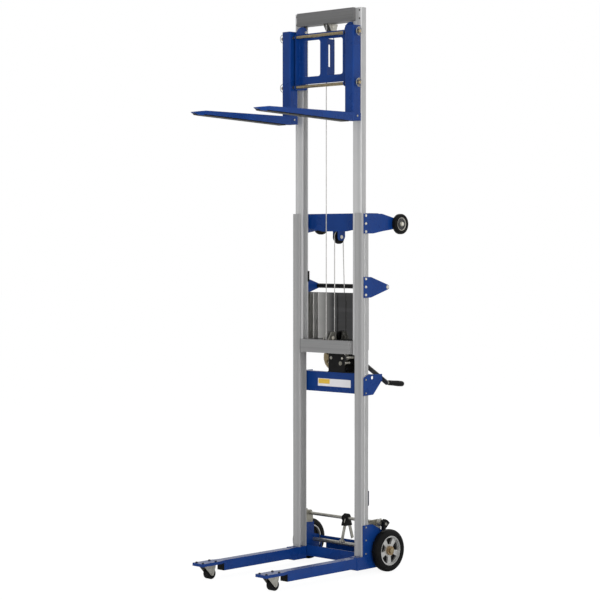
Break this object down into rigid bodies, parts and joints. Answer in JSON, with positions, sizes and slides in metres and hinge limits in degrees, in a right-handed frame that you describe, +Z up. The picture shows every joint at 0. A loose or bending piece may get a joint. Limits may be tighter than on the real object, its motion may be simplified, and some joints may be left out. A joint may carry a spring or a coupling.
{
  "type": "hand winch lift truck",
  "caption": "Straddle lift truck with a telescoping mast, forks on a sliding carriage, a hand winch with rope sheaves, push bar, foot brake and rolling wheels.",
  "frame": {"origin": "on the floor, under the middle of the raised truck's bounding box", "axes": "+Z up, forks and legs point to -Y, +X to the right seen from the front"},
  "size_m": [0.58, 0.976, 2.693],
  "materials": {
    "blue_paint": "gloss powder coat",
    "mast_aluminium": "drawn, clear anodised",
    "zinc_steel": "zinc plated",
    "yellow_zinc": "yellow zinc plated",
    "black_plastic": "moulded black",
    "black_paint": "satin black",
    "gloss_black": "polished sheet",
    "nylon": "natural nylon",
    "tyre_rubber": "solid rubber",
    "cast_aluminium": "cast",
    "wire_rope": "stranded wire"
  },
  "bodies": {
    "base": {"base_frame": "blue_paint", "leg_plugs": "black_plastic", "caster_mounts": "zinc_steel", "rear_axle": "zinc_steel", "top_crossmember": "blue_paint", "push_bar": "black_paint", "guard_panel": "gloss_black", "frame_bolts": "zinc_steel", "outer_glides": "nylon", "winch_crossmember": "blue_paint", "winch_frame": "black_paint", "brake_brackets": "zinc_steel", "rope_winding": "wire_rope", "rope_rear_fall": "wire_rope", "rope_front_fall": "wire_rope", "leg_left": "blue_paint", "leg_right": "blue_paint", "outer_post_left": "mast_aluminium", "outer_post_right": "mast_aluminium", "loading_arm_left": "blue_paint", "loading_arm_right": "blue_paint", "handle_bracket_left": "blue_paint", "handle_bracket_right": "blue_paint"},
    "inner_mast": {"top_beam": "mast_aluminium", "lower_beam": "mast_aluminium", "mast_bumpers": "black_plastic", "sheave_brackets": "zinc_steel", "inner_glides": "nylon", "inner_fasteners": "zinc_steel", "rope_mast_loop": "wire_rope", "rope_carriage_fall": "wire_rope", "inner_post_left": "mast_aluminium", "inner_post_right": "mast_aluminium"},
    "carriage": {"carriage_frame": "blue_paint", "carriage_glides": "nylon", "fork_rods": "yellow_zinc", "ring_pins": "yellow_zinc"},
    "drum": {"winch_drum": "zinc_steel", "drum_gear": "yellow_zinc"},
    "crank": {"pinion_shaft": "zinc_steel", "crank_arm": "black_paint"},
    "grip": {"crank_grip": "black_plastic"},
    "brake": {"brake_shaft": "zinc_steel", "brake_hub": "black_plastic", "brake_shoes": "tyre_rubber"},
    "top_sheave": {"top_sheave": "black_plastic"},
    "lower_sheave": {"lower_sheave": "black_plastic"},
    "head_sheave": {"head_sheave": "black_plastic"},
    "fork_left": {"fork_left": "blue_paint"},
    "fork_right": {"fork_right": "blue_paint"},
    "caster_wheel_left": {"caster_wheel_left": "black_plastic"},
    "caster_wheel_right": {"caster_wheel_right": "black_plastic"},
    "caster_fork_left": {"caster_fork_left": "zinc_steel"},
    "caster_fork_right": {"caster_fork_right": "zinc_steel"},
    "loading_wheel_left": {"loading_wheel_left": "tyre_rubber"},
    "loading_wheel_right": {"loading_wheel_right": "tyre_rubber"},
    "rear_wheel_left": {"rear_hub_left": "cast_aluminium", "rear_tyre_left": "tyre_rubber"},
    "rear_wheel_right": {"rear_hub_right": "cast_aluminium", "rear_tyre_right": "tyre_rubber"}
  },
  "joints": [
    {"name": "mast_slide", "type": "slide", "parent": "base", "child": "inner_mast", "axis": [0, 0, 1], "range_m": [-0.95, 0], "deforming": ["rope_front_fall"]},
    {"name": "carriage_slide", "type": "slide", "parent": "inner_mast", "child": "carriage", "axis": [0, 0, 1], "range_m": [-1.1, 0], "deforming": ["rope_carriage_fall"]},
    {"name": "fork_left_slide", "type": "slide", "parent": "carriage", "child": "fork_left", "axis": [1, 0, 0], "range_m": [-0.008, 0.015]},
    {"name": "fork_right_slide", "type": "slide", "parent": "carriage", "child": "fork_right", "axis": [1, 0, 0], "range_m": [-0.015, 0.008]},
    {"name": "rear_wheel_left_spin", "type": "hinge", "parent": "base", "child": "rear_wheel_left", "pos_m": [-0.264, 0.352, 0.1016], "axis": [1, 0, 0], "continuous": true},
    {"name": "caster_left_swivel", "type": "hinge", "parent": "base", "child": "caster_fork_left", "pos_m": [-0.21, -0.4, 0.07], "axis": [0, 0, 1], "continuous": true},
    {"name": "caster_left_spin", "type": "hinge", "parent": "caster_fork_left", "child": "caster_wheel_left", "pos_m": [-0.21, -0.379, 0.0254], "axis": [1, 0, 0], "continuous": true},
    {"name": "loading_wheel_left_spin", "type": "hinge", "parent": "base", "child": "loading_wheel_left", "pos_m": [-0.263, 0.439, 1.669], "axis": [1, 0, 0], "continuous": true},
    {"name": "rear_wheel_right_spin", "type": "hinge", "parent": "base", "child": "rear_wheel_right", "pos_m": [0.264, 0.352, 0.1016], "axis": [1, 0, 0], "continuous": true},
    {"name": "caster_right_swivel", "type": "hinge", "parent": "base", "child": "caster_fork_right", "pos_m": [0.21, -0.4, 0.07], "axis": [0, 0, 1], "continuous": true},
    {"name": "caster_right_spin", "type": "hinge", "parent": "caster_fork_right", "child": "caster_wheel_right", "pos_m": [0.21, -0.379, 0.0254], "axis": [1, 0, 0], "continuous": true},
    {"name": "loading_wheel_right_spin", "type": "hinge", "parent": "base", "child": "loading_wheel_right", "pos_m": [0.263, 0.439, 1.669], "axis": [1, 0, 0], "continuous": true},
    {"name": "drum_spin", "type": "hinge", "parent": "base", "child": "drum", "pos_m": [-0.028, 0.31, 1.02], "axis": [0, 1, 0], "continuous": true},
    {"name": "crank_spin", "type": "hinge", "parent": "base", "child": "crank", "pos_m": [0.045, 0.365, 1.02], "axis": [0, 1, 0], "continuous": true},
    {"name": "grip_spin", "type": "hinge", "parent": "crank", "child": "grip", "pos_m": [0.242, 0.42867, 0.90062], "axis": [0, 0.9945, -0.1045], "continuous": true},
    {"name": "top_sheave_spin", "type": "hinge", "parent": "base", "child": "top_sheave", "pos_m": [0.005, 0.282, 1.607], "axis": [1, 0, 0], "continuous": true},
    {"name": "lower_sheave_spin", "type": "hinge", "parent": "inner_mast", "child": "lower_sheave", "pos_m": [0.005, 0.2225, 1.12], "axis": [1, 0, 0], "continuous": true},
    {"name": "head_sheave_spin", "type": "hinge", "parent": "inner_mast", "child": "head_sheave", "pos_m": [0.005, 0.219, 2.618], "axis": [1, 0, 0], "continuous": true},
    {"name": "brake_rock", "type": "hinge", "parent": "base", "child": "brake", "pos_m": [0, 0.318, 0.236], "axis": [1, 0, 0], "range_deg": [0, 32]}
  ],
  "couplings": [
    {"joint": "drum_spin", "follows": "mast_slide", "rad_per_m": 30.303},
    {"joint": "crank_spin", "follows": "mast_slide", "rad_per_m": -117.17},
    {"joint": "top_sheave_spin", "follows": "mast_slide", "rad_per_m": -33.333},
    {"joint": "lower_sheave_spin", "follows": "carriage_slide", "rad_per_m": 33.898},
    {"joint": "head_sheave_spin", "follows": "carriage_slide", "rad_per_m": 38.462}
  ]
}
